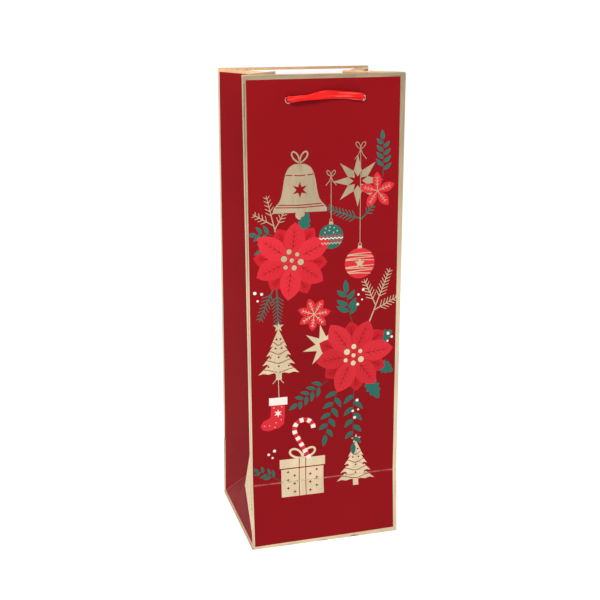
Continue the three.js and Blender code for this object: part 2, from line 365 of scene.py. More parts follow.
def noise_field(tree, scale, stretch=(1, 1, 1), detail=3.0, roughness=0.5, attribute=None):
    """Noise in cycles per metre, pulled out along an axis by stretch below 1: in the object's own space,
    or in the places that a mesh attribute gives."""
    if attribute:
        place = marked(tree, attribute, "Vector")
    else:
        place = add(tree, "ShaderNodeTexCoord").outputs["Object"]
    mapping = add(tree, "ShaderNodeMapping", Scale=stretch)
    field = add(tree, "ShaderNodeTexNoise", Scale=scale, Detail=detail, Roughness=roughness)
    tree.links.new(place, mapping.inputs["Vector"])
    tree.links.new(mapping.outputs["Vector"], field.inputs["Vector"])
    return field.outputs["Fac"]


def remap(tree, value, low, high, to_low, to_high):
    node = add(tree, "ShaderNodeMapRange", **{
        "From Min": low, "From Max": high, "To Min": to_low, "To Max": to_high})
    tree.links.new(value, node.inputs["Value"])
    return node.outputs["Result"]


def mix(tree, factor, first, second):
    node = add(tree, "ShaderNodeMix", data_type="RGBA")
    for socket, value in ((node.inputs[0], factor), (node.inputs[6], first), (node.inputs[7], second)):
        if isinstance(value, tuple):
            socket.default_value = (*value, 1)
        else:
            tree.links.new(value, socket)
    return node.outputs[2]


def calculate(tree, operation, *values):
    node = add(tree, "ShaderNodeMath", operation=operation)
    for socket, value in zip(node.inputs, values):
        tree.links.new(value, socket)
    return node.outputs["Value"]


def bump(tree, shader, layers):
    """layers are (height field, strength, distance in metres), laid over each other."""
    below = None
    for height, strength, distance in layers:
        node = add(tree, "ShaderNodeBump", Strength=strength, Distance=distance)
        tree.links.new(height, node.inputs["Height"])
        if below:
            tree.links.new(below, node.inputs["Normal"])
        below = node.outputs["Normal"]
    tree.links.new(below, shader.inputs["Normal"])


def printed_paper(name, color):
    """Coated paper under ink and a satin laminate, rubbed pale along its folds."""
    material, tree, shader = new_material(name, color, LAMINATE_ROUGHNESS, specular=0.05)
    cloudy = noise_field(tree, 9, detail=4)
    fine = noise_field(tree, 1400, detail=2)
    light = shade(color, 1.1)
    ink = mix(tree, remap(tree, cloudy, 0.3, 0.7, 0, 1), shade(color, 0.9), light)
    ink = mix(tree, remap(tree, fine, 0.3, 0.75, 0, 0.12), ink, light)
    broken = remap(tree, noise_field(tree, 260, detail=4, roughness=0.7), 0.34, 0.66, 0.15, 0.75)
    ink = mix(tree, calculate(tree, "MULTIPLY", marked(tree, "wear"), broken), ink, RUBBED)
    tree.links.new(ink, shader.inputs["Base Color"])
    gloss = remap(tree, noise_field(tree, 60, detail=3), 0.3, 0.7,
                  LAMINATE_ROUGHNESS - 0.04, LAMINATE_ROUGHNESS + 0.05)
    tree.links.new(gloss, shader.inputs["Roughness"])
    bump(tree, shader, [(noise_field(tree, 2600, detail=2), 0.05, 0.00005), (cloudy, 0.2, 0.0006)])
    return material


def plain_paper(name, color, roughness=0.75):
    """Uncoated or clay-coated paper with its fibres."""
    material, tree, shader = new_material(name, color, roughness)
    fibres = noise_field(tree, 700, stretch=(1, 1, 0.35), detail=4)
    cloudy = noise_field(tree, 25, detail=3)
    tone = mix(tree, remap(tree, cloudy, 0.3, 0.7, 0, 1), color, shade(color, 0.93))
    tone = mix(tree, remap(tree, fibres, 0.55, 0.8, 0, 0.35), tone, shade(color, 0.86))
    tree.links.new(tone, shader.inputs["Base Color"])
    bump(tree, shader, [(fibres, 0.12, 0.00006)])
    return material


def gold_foil(name, color=(0.69, 0.555, 0.365), grain=(1, 1, 0.06)):
    """Hot-stamped foil: metal with fine brush lines and the paper's unevenness under it."""
    material, tree, shader = new_material(name, color, FOIL_ROUGHNESS, metallic=1.0)
    brushed = noise_field(tree, 900, stretch=grain, detail=3, roughness=0.6)
    patchy = noise_field(tree, 45, stretch=(1, 1, 0.5), detail=4)
    dull = shade(color, 0.8)
    tone = mix(tree, remap(tree, patchy, 0.35, 0.7, 0, 1), color, dull)
    tone = mix(tree, remap(tree, brushed, 0.4, 0.7, 0, 0.3), tone, dull)
    cracks = remap(tree, noise_field(tree, 800, stretch=(0.5, 0.5, 2), detail=3), 0.47, 0.55, 0, 1)
    tone = mix(tree, calculate(tree, "MULTIPLY", marked(tree, "wear"), cracks), tone, CRACKED)
    tree.links.new(tone, shader.inputs["Base Color"])
    gloss = remap(tree, brushed, 0.3, 0.7, FOIL_ROUGHNESS - 0.07, FOIL_ROUGHNESS + 0.1)
    tree.links.new(gloss, shader.inputs["Roughness"])
    bump(tree, shader, [(patchy, 0.35, 0.0005), (brushed, 0.12, 0.00004)])
    return material


def satin_ribbon(name):
    """Satin weave with painted light for its gloss: streaks of painted highlight and patches of painted
    shade along the ribbon, its threads brightened as painted highlight, and painted shade towards both
    edges.
    The mesh attribute weave gives the places along and across the ribbon."""
    material, tree, shader = new_material(name, SATIN, 0.3, specular=0.16)
    threads = noise_field(tree, 5200, (0.04, 1, 1), detail=1, attribute="weave")
    soft = noise_field(tree, 130, (0.5, 1, 1), detail=2, attribute="weave")
    streaks = noise_field(tree, 520, (0.09, 1, 1), detail=2, attribute="weave")
    # Patches of painted shade, then streaks of painted highlight.
    tone = mix(tree, remap(tree, soft, 0.36, 0.64, 0, 1), SATIN, SATIN_PAINTED_SHADE)
    tone = mix(tree, remap(tree, streaks, 0.54, 0.68, 0, 0.8), tone, SATIN_PAINTED_HIGHLIGHT)
    # The weave's fine threads, brightened as painted highlight.
    tone = mix(tree, remap(tree, threads, 0.3, 0.8, 0, 0.25), tone, SATIN_THREAD_HIGHLIGHT)
    # Painted shade towards both edges of the ribbon.
    parts = add(tree, "ShaderNodeSeparateXYZ")
    tree.links.new(marked(tree, "weave", "Vector"), parts.inputs["Vector"])
    from_middle = calculate(tree, "ABSOLUTE", parts.outputs["Y"])
    tone = mix(tree, remap(tree, from_middle, 0.0019, 0.0031, 0, 0.75), tone, SATIN_PAINTED_EDGE_SHADE)
    tree.links.new(tone, shader.inputs["Base Color"])
    shader.inputs["Sheen Weight"].default_value = 0.03
    shader.inputs["Sheen Roughness"].default_value = 0.3
    bump(tree, shader, [(soft, 0.4, 0.0005), (streaks, 0.35, 0.0003), (threads, 0.25, 0.00005)])
    return material


red_paper = printed_paper("red_printed_paper", (0.2, 0.0032, 0.0057))
inner_paper = plain_paper("inner_paper", (0.86, 0.83, 0.82))
# The hem's paper is white; its pink tint is painted reflected light from the red paper.
hem_paper = plain_paper("hem_paper", (0.92, 0.84, 0.83), roughness=0.5)
card = plain_paper("grey_card", (0.42, 0.38, 0.33), roughness=0.9)
foil = gold_foil("gold_foil")
level_foil = gold_foil("level_gold_foil", grain=(0.06, 1, 1))
# A darker copper copy of the gold: painted shade for foil that faces away from the light.
shade_painted_foil = gold_foil("side_gold_foil", color=(0.56, 0.35, 0.18))
# An orange copy of the gold: painted shade with a warm painted reflection, for foil turned away from the
# light.
warm_shade_painted_foil = gold_foil("turned_gold_foil", color=(0.8, 0.5, 0.27))
satin = satin_ribbon("satin")


# ---- mesh building ----
SHARP_ANGLE = math.radians(35)


def finish_mesh(name, vertices, faces, materials, body, indices=None, wear=None):
    mesh = bpy.data.meshes.new(name)
    mesh.from_pydata([Vector(point) * MM for point in vertices], [], faces)
    for material in materials:
        mesh.materials.append(material)
    if indices:
        mesh.polygons.foreach_set("material_index", indices)
    if wear:
        mesh.attributes.new("wear", "FLOAT", "POINT").data.foreach_set("value", wear)
    mesh.polygons.foreach_set("use_smooth", [True] * len(faces))
    mesh.set_sharp_from_angle(angle=SHARP_ANGLE)
    piece = bpy.data.objects.new(name, mesh)
    bpy.context.collection.objects.link(piece)
    if body:
        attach(piece, body)
    return piece


def read_grid(grid, outward):
    """A grid's points and their normals on the side of the point outward, judged a quarter of the way up,
    and whether its faces have to be turned round to face that way."""
    points = np.array([[list(point) for point in row] for row in grid])
    normals = np.cross(np.gradient(points, axis=1), np.gradient(points, axis=0))
    normals /= np.maximum(np.linalg.norm(normals, axis=2, keepdims=True), 1e-9)
    middle = (len(points) // 4, len(points[0]) // 2)
    turned_round = (np.array(outward) - points[middle]) @ normals[middle] < 0
    return points, -normals if turned_round else normals, turned_round


def grid_faces(rows, columns):
    """The faces of a grid of points, row by row."""
    faces = []
    for row in range(rows - 1):
        for a in range(row * columns, row * columns + columns - 1):
            faces.append([a, a + 1, a + 1 + columns, a + columns])
    return faces


def shell_faces(rows, columns):
    """The faces of a closed shell between two grids: outer, inner, first and last column, both ends."""
    count = rows * columns
    outer = grid_faces(rows, columns)
    inner = [[a + count, d + count, c + count, b + count] for a, b, c, d in outer]
    first, last, ends = [], [], []
    for a in range(0, count - columns, columns):
        first.append([a, a + columns, a + columns + count, a + count])
        b, c = a + columns - 1, a + 2 * columns - 1
        last.append([c, b, b + count, c + count])
    for b in range(1, columns):
        c = count - columns + b
        ends.append([b, b - 1, b - 1 + count, b + count])
        ends.append([c - 1, c, c + count, c - 1 + count])
    return outer, inner, first, last, ends


def sheet(name, grid, body, outward, thickness=PAPER, wear=None, hem_row=None):
    """A sheet of paper as a closed shell: grid is its outer skin, rows of points, and outward a point on
    the side that the outer skin faces. Rows from hem_row on show the hem's paper."""
    points, normals, turned_round = read_grid(grid, outward)
    rows, columns = points.shape[:2]
    vertices = np.concatenate([points.reshape(-1, 3), (points - normals * thickness).reshape(-1, 3)])
    outer, inner, first, last, ends = shell_faces(rows, columns)
    faces = outer + inner + first + last + ends
    if turned_round:
        faces = [face[::-1] for face in faces]
    papers = (red_paper, inner_paper, hem_paper) if hem_row else (red_paper, inner_paper)
    hem_row = hem_row or rows + HEM_EDGE_ROWS
    indices = [0 if i < hem_row * (columns - 1) else 2 for i in range(len(outer))]
    indices += [1] * (len(inner) + len(first))
    indices += [0 if i < hem_row - HEM_EDGE_ROWS else 2 for i in range(len(last))] + [1] * len(ends)
    marks = None
    if wear:
        marks = [wear(row, column) for row in range(rows) for column in range(columns)] * 2
    return finish_mesh(name, vertices.tolist(), faces, papers, body, indices, marks)


FOIL_LIFT = 0.03


def foil_skin(name, grid, body, outward, material, wear=None):
    """Foil has no thickness worth drawing: a single skin just off the paper."""
    points, normals, turned_round = read_grid(grid, outward)
    faces = grid_faces(*points.shape[:2])
    if turned_round:
        faces = [face[::-1] for face in faces]
    vertices = (points + normals * FOIL_LIFT).reshape(-1, 3).tolist()
    return finish_mesh(name, vertices, faces, (material,), body, wear=wear)


CREASE_LINES = [FOOT_LENGTH + offset for offset in (-1.2, -0.5, -0.15, 0.15, 0.5, 1.2)]
CREASE_WIDTH = 0.35
GRID_STEP = 3
SHARES = spread(-1, 1, 0.05)
FOOT_ROWS = spread(BASE_RADIUS + 1, FOOT_LENGTH, GRID_STEP, CREASE_LINES)
WALL_ROWS = spread(FOOT_LENGTH, PANEL_LENGTH - HEM_RADIUS - 0.6, GRID_STEP, CREASE_LINES)
BASE_FOLD_ROWS = [BASE_RADIUS - BASE_RADIUS * math.pi / 2 * share for share in shares(6)[::-1]]
FOLD_TURNS = shares(6)


def crease_wear(v):
    return math.exp(-((v - FOOT_LENGTH) / CREASE_WIDTH) ** 2)


HALF_TURN = 4
HEM_EDGE_ROWS = 6
FOLD_PAPER = 0.2


def hem_path(radius):
    """Rows along the paper over the mouth edge, then down the hem inside."""
    arc = [PANEL_LENGTH - radius + math.pi * radius * share for share in shares(2 * HALF_TURN)]
    down = arc[-1]
    rest = spread(down + 10, down + HEM_HEIGHT - radius, 6)
    return arc, [down + 0.9, down + 2, down + FLARE_LENGTH, down + 6] + rest


# ---- the two ribbon handles: each goes out of one hole and in at the other, its ends knotted inside ----
HOLE_RADIUS = 2.5
HOLE_HALF_SPACING = 27.5
HOLE_DROP = 17.5
RIBBON_HALF_WIDTH = 3.1
RIBBON_THICKNESS = 0.22
RIBBON_STEP = 0.8
RIBBON_COLUMNS = 15
NARROWING = 0.3
CUP, CUP_GATHERED = 0.35, 1.7
PLEAT = 0.3
PLEATS_ACROSS = 6.46
PLEATS_DRIFT = 0.0399
PLEATS_START = 2.47
FLUTTER = 0.1
HANGING_TURN = math.radians(40)
STEEP = 0.6
TURN_WINDOW = 11
KNOT_SIZE = 3.1
KNOT_DISTANCE = 4.8
KNOT_TURNS, KNOT_COLUMNS = 96, 12
KNOT_DEPTH = 1.1
KNOT_HALF_THICKNESS = 0.75
KNOT_HALF_WIDTH = 1.5

# Across, inwards from the wall's outer face, and above the holes' centres, as in the CAD source; then how
# far the ribbon's flat has turned from upright towards level, and how gathered it is.
RIBBON_ROUTE = [
    (-33.5, 8.4, -134, 80, 0.3), (-32.9, 7.2, -118, 70, 0.0), (-31.7, 6.2, -98, 95, 0.0),
    (-30.7, 5.8, -78, 120, 0.0), (-29.7, 5.8, -58, 100, 0.0), (-28.7, 5.8, -40, 85, 0.0),
    (-28, 5.8, -22, 90, 0.2), (-27.6, 5.6, -9, 90, 0.7), (-27.5, 4.6, -2.4, 88, 1.0),
    (-27.8, 2.4, 0, 45, 1.0), (-28.2, 0, 0.3, 8, 1.0), (-27.6, -1.9, 0.7, -26, 1.0),
    (-23.6, -2.7, 1.1, -60, 0.8), (-13, -2.7, 2, -52, 0.4), (0, -3.1, 3, 8, 0.0),
    (13, -2.8, 2.3, 30, 0.05), (23.6, -2.7, 1.2, 16, 0.3), (27.6, -1.9, 0.7, 6, 0.8),
    (28.2, 0, 0.3, 8, 1.0), (27.8, 2.4, 0, 45, 1.0), (27.5, 4.6, -2.4, 88, 1.0),
    (27.6, 5.6, -9, 90, 0.7), (28.2, 5.8, -22, 95, 0.2), (29.1, 5.8, -40, 75, 0.0),
    (29.9, 5.8, -58, 60, 0.0), (30.5, 5.8, -78, 85, 0.0), (30.9, 6.2, -98, 110, 0.0),
    (31.3, 7.2, -118, 95, 0.0), (31.9, 8.4, -134, 80, 0.3),
]


def hanging_point(wall, across, inward, rise):
    """A route point in the wall's frame; what hangs below the hole hangs plumb, not along the wall."""
    drop = max(0.0, -rise)
    return wall_point(wall, across, inward + drop * math.tan(LEAN[wall]), WALL_LENGTH - HOLE_DROP + rise)


def smooth_line(values, steps):
    """A Catmull-Rom line through rows of numbers, as an array."""
    rows = np.array(values, dtype=float)
    ends = np.vstack([2 * rows[0] - rows[1], rows, 2 * rows[-1] - rows[-2]])
    line = []
    for i in range(len(rows) - 1):
        a, b, c, d = ends[i:i + 4]
        for t in np.arange(steps) / steps:
            line.append(0.5 * (2 * b + (c - a) * t + (2 * a - 5 * b + 4 * c - d) * t ** 2
                               + (3 * b - a - 3 * c + d) * t ** 3))
    line.append(rows[-1])
    return np.array(line)


def evenly(line, step):
    """The same line with its rows step apart along its first three numbers."""
    gaps = np.linalg.norm(np.diff(line[:, :3], axis=0), axis=1)
    along = np.concatenate([[0], np.cumsum(gaps)])
    places = np.linspace(0, along[-1], round(along[-1] / step) + 1)
    return np.stack([np.interp(places, along, line[:, i]) for i in range(line.shape[1])], axis=1)


def unit(vectors):
    return vectors / np.linalg.norm(vectors, axis=-1, keepdims=True)


def square_to(vectors, tangents):
    """Unit vectors without the part of them that runs along the tangents."""
    return unit(vectors - tangents * np.sum(vectors * tangents, axis=-1, keepdims=True))


def ribbon_axes(wall, turns, tangents):
    """Which way the ribbon's width points: upright outside the bag, level where it hangs, turned by its
    route and always on the same side as before, then averaged so that the flat turns smoothly."""
    axes = []
    for turn, tangent in zip(np.radians(turns), tangents):
        upright = np.array((0.0, 0.0, 1.0)) - tangent * tangent[2]
        axis = upright * math.cos(turn) + np.cross(tangent, upright) * math.sin(turn)
        if turn > HANGING_TURN or abs(tangent[2]) > STEEP:
            axis = np.array((math.sin(turn), wall * math.cos(turn), 0.0))
        axis = square_to(axis, tangent)
        if axes and axes[-1] @ axis < 0:
            axis = -axis
        axes.append(axis)
    window = np.hanning(TURN_WINDOW) / np.hanning(TURN_WINDOW).sum()
    padded = np.pad(axes, ((TURN_WINDOW // 2, TURN_WINDOW // 2), (0, 0)), mode="edge")
    averaged = np.stack([np.convolve(padded[:, k], window, mode="valid") for k in range(3)], axis=1)
    return square_to(averaged, tangents)


def lay_weave(piece, places):
    """Marks each point of a ribbon with its place along and across the weave."""
    flat = [value * MM for along, across in places for value in (along, across, 0.0)]
    piece.data.attributes.new("weave", "FLOAT_VECTOR", "POINT").data.foreach_set("vector", flat)


def build_ribbon(wall):
    name = WALL_NAMES[wall]
    body = wall_body(wall)
    rows = [(*hanging_point(wall, *point[:3]), *point[3:]) for point in RIBBON_ROUTE]
    line = evenly(smooth_line(rows, 8), RIBBON_STEP)
    centres, turns, gather = line[:, :3], line[:, 3], line[:, 4:]
    tangents = unit(np.gradient(centres, axis=0))
    axes = ribbon_axes(wall, turns, tangents)
    lifts = np.cross(axes, tangents)
    index = np.arange(len(line))[:, None]
    across = np.linspace(-1, 1, RIBBON_COLUMNS)
    # Where the satin is gathered it is narrower, cupped and more deeply pleated.
    half = RIBBON_HALF_WIDTH * (1 - NARROWING * gather)
    cup = (CUP + CUP_GATHERED * gather) * (0.4 - across ** 2)
    pleats = across * PLEATS_ACROSS + PLEATS_DRIFT * index + PLEATS_START * wall
    pleat = PLEAT * (1 + gather) * np.sin(pleats)
    rise = cup + pleat + FLUTTER * np.sin(0.23 * index + across * 2)
    skin = centres[:, None] + (across * half)[..., None] * axes[:, None] + rise[..., None] * lifts[:, None]
    thickness = lifts[:, None] * RIBBON_THICKNESS / 2
    vertices = np.concatenate([(skin + thickness).reshape(-1, 3), (skin - thickness).reshape(-1, 3)])
    faces = [face for group in shell_faces(len(line), RIBBON_COLUMNS) for face in group]
    ribbon = finish_mesh(f"{name}_satin_ribbon", vertices.tolist(), faces, (satin,), body)
    places = [(i * RIBBON_STEP, side * RIBBON_HALF_WIDTH) for i in range(len(line)) for side in across]
    lay_weave(ribbon, places * 2)
    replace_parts(ribbon, f"{name}_ribbon")
    for side, end, away in ((LEFT, 0, -1), (RIGHT, -1, 1)):
        centre = centres[end] + tangents[end] * away * KNOT_DISTANCE
        build_knot(f"{name}_{SIDE_NAMES[side]}", centre, body)


def build_knot(name, centre, body):
    """An overhand knot pulled tight: a flat band run round a trefoil."""
    angles = np.linspace(0, 2 * math.pi, KNOT_TURNS, endpoint=False)
    line = np.stack([np.sin(angles) + 2 * np.sin(2 * angles), -np.sin(3 * angles) * KNOT_DEPTH,
                     np.cos(angles) - 2 * np.cos(2 * angles)], axis=1) * KNOT_SIZE / 3
    tangents = unit(np.roll(line, -1, axis=0) - np.roll(line, 1, axis=0))
    outwards = square_to(line, tangents)
    sideways = np.cross(tangents, outwards)
    around = 2 * math.pi * np.arange(KNOT_COLUMNS)[:, None] / KNOT_COLUMNS
    thick = KNOT_HALF_THICKNESS * np.cos(around) * (1 + 0.15 * np.sin(3 * around))
    wide = KNOT_HALF_WIDTH * np.sin(around)
    vertices = (centre + line[:, None] + outwards[:, None] * thick + sideways[:, None] * wide).reshape(-1, 3)
    count = KNOT_TURNS * KNOT_COLUMNS
    faces = []
    for i in range(0, count, KNOT_COLUMNS):
        for k in range(KNOT_COLUMNS):
            a, b = i + k, i + (k + 1) % KNOT_COLUMNS
            faces.append([a, b, (b + KNOT_COLUMNS) % count, (a + KNOT_COLUMNS) % count])
    knot = finish_mesh(f"{name}_ribbon_knot", vertices.tolist(), faces, (satin,), body)
    lay_weave(knot, [(0.3 * i, 0.5 * k) for i in range(KNOT_TURNS) for k in range(KNOT_COLUMNS)])
    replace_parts(knot, f"{name}_knot")
    return knot


for wall in (FRONT, BACK):
    build_ribbon(wall)


# ---- walls: outer paper, mouth fold and hem in one sheet, then the rounded side folds ----
def build_wall(wall):
    arc, hem = hem_path(HEM_RADIUS)
    rows = WALL_ROWS + arc + hem
    grid = [[wall_surface(wall, share, p) for share in SHARES] for p in rows]
    paper = sheet(f"{WALL_NAMES[wall]}_wall_paper", grid, None, outside(0, wall),
                  hem_row=len(WALL_ROWS) + HALF_TURN, wear=lambda row, column: crease_wear(rows[row]))
    punch(paper, wall)
    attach(paper, wall_body(wall))
    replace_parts(paper, wall_body(wall), f"{WALL_NAMES[wall]}_hem")
    build_side_folds(f"{WALL_NAMES[wall]}_wall", wall, wall_body(wall), WALL_ROWS)


def build_side_folds(name, wall, body, values):
    for side in (LEFT, RIGHT):
        grid = [[side_fold(wall, side, turn, v) for turn in FOLD_TURNS] for v in values]
        sheet(f"{name}_{SIDE_NAMES[side]}_fold", grid, body, outside(side, wall), thickness=FOLD_PAPER)


def punch(piece, wall):
    """Cuts the two ribbon holes through both layers of a wall's paper."""
    for side in (LEFT, RIGHT):
        inward = Vector((0, -wall * math.cos(LEAN[wall]), -math.sin(LEAN[wall])))
        centre = wall_point(wall, side * HOLE_HALF_SPACING, 0, WALL_LENGTH - HOLE_DROP)
        bpy.ops.mesh.primitive_cylinder_add(
            vertices=40, radius=HOLE_RADIUS * MM, depth=12 * MM, location=centre * MM,
            rotation=inward.to_track_quat("Z", "Y").to_euler())
        cutter = bpy.context.object
        cutter.data.materials.append(piece.data.materials[1])
        modifier = piece.modifiers.new("hole", "BOOLEAN")
        modifier.operation = "DIFFERENCE"
        modifier.solver = "EXACT"
        modifier.object = cutter
        evaluated = piece.evaluated_get(bpy.context.evaluated_depsgraph_get())
        piece.data = bpy.data.meshes.new_from_object(evaluated)
        piece.modifiers.clear()
        bpy.data.objects.remove(cutter)


for wall in (FRONT, BACK):
    build_wall(wall)

# ---- feet: the panel below the cross crease, folded under into its bottom flap ----
FLAP_REACH = 64.0
FLAP_INSET = 0.9
FLAP_RISE = {FRONT: 0.0, BACK: 0.6}


def foot_surface(wall, share, p, lift=0.0):
    """p runs up the foot from its base fold, and below 0 under the bag."""
    if p >= BASE_RADIUS:
        return panel_point(wall, share * (half_width(p) - fold_setback(p)), -lift, p)
    turn = min(math.pi / 2, (BASE_RADIUS - p) / BASE_RADIUS)
    reach = BASE_RADIUS + lift
    y = DEPTH_HALF - BASE_RADIUS - BASE_RADIUS * math.sin(FOOT_LEAN) + reach * math.cos(turn)
    z = BASE_RADIUS - reach * math.sin(turn)
    under = max(0.0, -(p - BASE_RADIUS + BASE_RADIUS * math.pi / 2))
    across = share * (half_width(0) - fold_setback(0) - FLAP_INSET * min(1, under / 3))
    return Vector((across, wall * (y - under), z + FLAP_RISE[wall] * min(1, under / 4)))


def build_foot(wall):
    name = WALL_NAMES[wall]
    under = spread(BASE_RADIUS * (math.pi / 2 - 1) + 0.3, FLAP_REACH, 8, (3.5,))
    rows = [-value for value in under[::-1]] + BASE_FOLD_ROWS + FOOT_ROWS
    grid = [[foot_surface(wall, share, p) for share in SHARES] for p in rows]
    paper = sheet(f"{name}_foot_paper", grid, "root", outside(0, wall, -1500),
                  wear=lambda row, column: crease_wear(rows[row]))
    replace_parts(paper, f"{name}_foot", f"{name}_bottom_flap")
    build_side_folds(f"{name}_foot", wall, "root", spread(BASE_RADIUS, FOOT_LENGTH, 4))


for wall in (FRONT, BACK):
    build_foot(wall)


# ---- gussets, corner folds and base triangles ----
def build_gusset_half(side, wall):
    name = f"{corner_name(side, wall)}_gusset"
    arc, hem = hem_path(GUSSET_HEM_RADIUS)
    paper = sheet(f"{name}_paper", gusset_grid(side, wall, GUSSET_ROWS + arc + hem[4:]), None,
                  outside(side, 0), hem_row=len(GUSSET_ROWS) + HALF_TURN)
    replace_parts(paper, name, f"{name}_hem")
    turn_with_gusset(paper)


def build_corner_fold(side, wall):
    name = f"{corner_name(side, wall)}_corner_fold"
    grid = [[corner_fold_surface(side, wall, reach, row) for reach in reaches(0, GUSSET_HALF * row)]
            for row in CORNER_ROWS]
    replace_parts(sheet(f"{name}_paper", grid, "root", outside(side, 0)), name)


def build_base_triangle(side):
    name = f"{SIDE_NAMES[side]}_base_triangle"
    edge = [0.0, 0.004, 0.008]
    columns = edge + shares(24)[1:-1] + [1 - share for share in edge[::-1]]
    rubbed = (0, 1, len(columns) - 2, len(columns) - 1)
    grid = triangle_grid(side, spread(0, GUSSET_HALF - 0.3, 3, (0.6, 2.7)), columns)
    paper = sheet(f"{name}_paper", grid, "root", outside(side, 0),
                  wear=lambda row, column: 1.0 if column in rubbed else 0.0)
    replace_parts(paper, name)


def turn_with_gusset(piece):
    """Bakes the piece's placement into its mesh points."""
    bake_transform(piece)


for side in (LEFT, RIGHT):
    build_base_triangle(side)
    for wall in (FRONT, BACK):
        build_corner_fold(side, wall)
        build_gusset_half(side, wall)

# ---- foil borders on the gussets, their folds and the base triangles ----
GUSSET_TOP_BAND = 2.6
BASE_BAND = 2.7
GUSSET_BAND = {(LEFT, FRONT): EAR_REACH, (LEFT, BACK): 2.3, (RIGHT, FRONT): 2.3, (RIGHT, BACK): 2.3}
CRACK_PLACE, CRACK_LENGTH, CRACKING = 38, 9, 0.9


def build_gusset_foil(side, wall):
    name = corner_name(side, wall)
    outward = outside(side, 0)
    near = [reach for reach in NEAR_REACHES if reach <= GUSSET_BAND[side, wall]]
    top = PANEL_LENGTH - GUSSET_TOP_BAND
    grid = [[gusset_surface(side, wall, reach, p) for reach in [fold_setback(p)] + near]
            for p in [row for row in GUSSET_ROWS if row < top] + [top]]
    turn_with_gusset(foil_skin(f"{name}_gusset_side_foil", grid, None, outward, foil))
    arc, hem = hem_path(GUSSET_HEM_RADIUS)
    # The gusset's top band and its turn take the orange copy of the gold, which is painted shade.
    grid = gusset_grid(side, wall, [top] + [row for row in GUSSET_ROWS if row > top] + arc + hem[:2])
    turn_with_gusset(foil_skin(f"{name}_gusset_top_foil", grid, None, outward, warm_shade_painted_foil))
    grid = [[corner_fold_surface(side, wall, min(reach, GUSSET_HALF * row), row)
             for reach in [fold_setback(0)] + near] for row in CORNER_ROWS]
    foil_skin(f"{name}_corner_foil", grid, "root", outward, foil)


def build_fold_foil(side, wall):
    """The foil over a panel's rounded side fold, cracked a little along the foot's."""
    outward = outside(side, wall)
    for part, body, values in (("wall", wall_body(wall), WALL_ROWS), ("foot", "root", FOOT_ROWS)):
        grid = [[side_fold(wall, side, turn, v) for turn in FOLD_TURNS] for v in values]
        cracks = [CRACKING * math.exp(-((v - CRACK_PLACE) / CRACK_LENGTH) ** 2) for v in values]
        foil_skin(f"{corner_name(side, wall)}_{part}_fold_foil", grid, body, outward, foil,
                  [crack for crack in cracks for _ in FOLD_TURNS])


for side in (LEFT, RIGHT):
    grid = triangle_grid(side, (0, 0.6, 1.6, BASE_BAND), shares(24))
    # The base triangles' band takes the darker copper copy of the gold, which is painted shade.
    foil_skin(f"{SIDE_NAMES[side]}_base_foil", grid, "root", outside(side, 0), shade_painted_foil)
    for wall in (FRONT, BACK):
        build_gusset_foil(side, wall)
        build_fold_foil(side, wall)

# ---- the print: motifs drawn flat as polygons, cut along the paper's grid and laid on the panels ----
ART_HALF = half_width(0) - fold_setback(0)
PRINT_HALF = ART_HALF - 2.4
PRINT_LIFT = 0.02
LAYER_LIFT = 0.008
INK_COLORS = {
    "leaf": (0.019, 0.112, 0.088), "leaf_vein": (0.045, 0.06, 0.045), "deep_petal": (0.42, 0.011, 0.018),
    "low_petal": (0.48, 0.017, 0.026), "petal": (0.52, 0.021, 0.031), "vein": (0.22, 0.004, 0.007),
    "white": (0.7, 0.63, 0.57),
}
# The layers of the print, from the lowest up.
LAYERS = {"gold": foil, "ground": red_paper}
LAYERS.update({name: printed_paper(f"{name}_ink", color) for name, color in INK_COLORS.items()})
# The top layer is a thin dark line drawn down the left side fold.
LAYERS.update({"gold_detail": foil, "score": printed_paper("split_fold", (0.1, 0.07, 0.045))})
art = {name: [] for name in LAYERS}


def point_at(centre, angle, distance):
    return Vector((centre[0] + distance * math.cos(angle), centre[1] + distance * math.sin(angle)))


def arc_points(centre, radius, start, turn, steps):
    return [point_at(centre, start + turn * share, radius) for share in shares(steps)]


def blade(name, root, tip, width, belly=0.45, bend=0.0, steps=12, teeth=0.0):
    """A pointed leaf or petal from root to tip, widest at belly."""
    root, tip = Vector(root), Vector(tip)
    spine = tip - root
    side = Vector((-spine.y, spine.x)).normalized()
    power = math.log(0.5) / math.log(belly)
    first, second = [root], []
    for i, t in enumerate(shares(steps)[1:-1], 1):
        half = width / 2 * math.sin(math.pi * t ** power) ** 0.85 * (1 - teeth * (i % 2))
        centre = root + spine * t + side * bend * math.sin(math.pi * t)
        first.append(centre + side * half)
        second.append(centre - side * half)
    art[name].append(first + [tip] + second[::-1])


def stroke(name, points, width, end_width=None):
    """A line of the given width, as one four-sided polygon for each of its parts."""
    points = [Vector(point) for point in points]
    edges = []
    for i, point in enumerate(points):
        before, after = points[max(i - 1, 0)], points[min(i + 1, len(points) - 1)]
        way = (after - before).normalized()
        share = i / (len(points) - 1)
        half = (width + ((end_width or width) - width) * share) / 2
        across = Vector((-way.y, way.x)) * half
        edges.append((point + across, point - across))
    for (a, b), (c, d) in zip(edges, edges[1:]):
        art[name].append([a, b, d, c])


def outline(name, centre, size, places, height=None):
    """A closed outline given in sizes from a centre."""
    tall = height or size
    art[name].append([(centre[0] + a * size, centre[1] + b * tall) for a, b in places])


def disc(name, centre, radius, sides=22):
    art[name].append(arc_points(centre, radius, 0, 2 * math.pi, sides)[:-1])


def dots(centre, size, places, radius, sides):
    for a, b in places:
        disc("gold_detail", (centre[0] + a * size, centre[1] + b * size), radius, sides)


